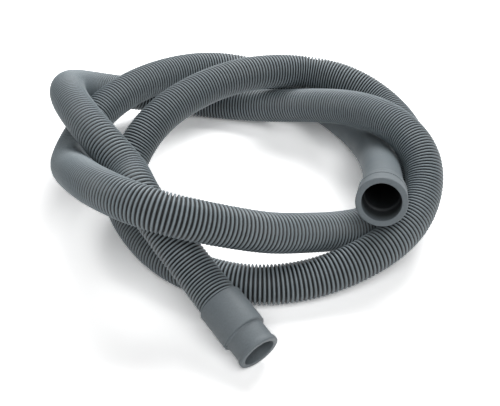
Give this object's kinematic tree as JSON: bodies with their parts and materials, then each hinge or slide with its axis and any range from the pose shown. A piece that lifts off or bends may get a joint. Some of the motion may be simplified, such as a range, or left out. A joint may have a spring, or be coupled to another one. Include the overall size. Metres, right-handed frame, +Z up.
{
  "type": "washing machine drain hose",
  "caption": "Grey corrugated drain hose lying in loose loops, with a straight cuff on one end and a curved elbow cuff with a collar on the other.",
  "frame": {"origin": "bottom centre of the whole hose as it lies on the floor", "axes": "+Z up from the floor, +Y away from the side where the straight cuff lies, +X to the right seen from there"},
  "size_m": [0.2989, 0.3424, 0.0936],
  "materials": {
    "hose_plastic": "mid grey, satin sheen on the crests of the corrugations",
    "cuff_plastic": "mid grey, smooth soft moulded plastic with a matte sheen"
  },
  "bodies": {
    "root": {"corrugated_hose": "hose_plastic", "straight_cuff": "cuff_plastic", "elbow_cuff": "cuff_plastic"}
  },
  "joints": []
}
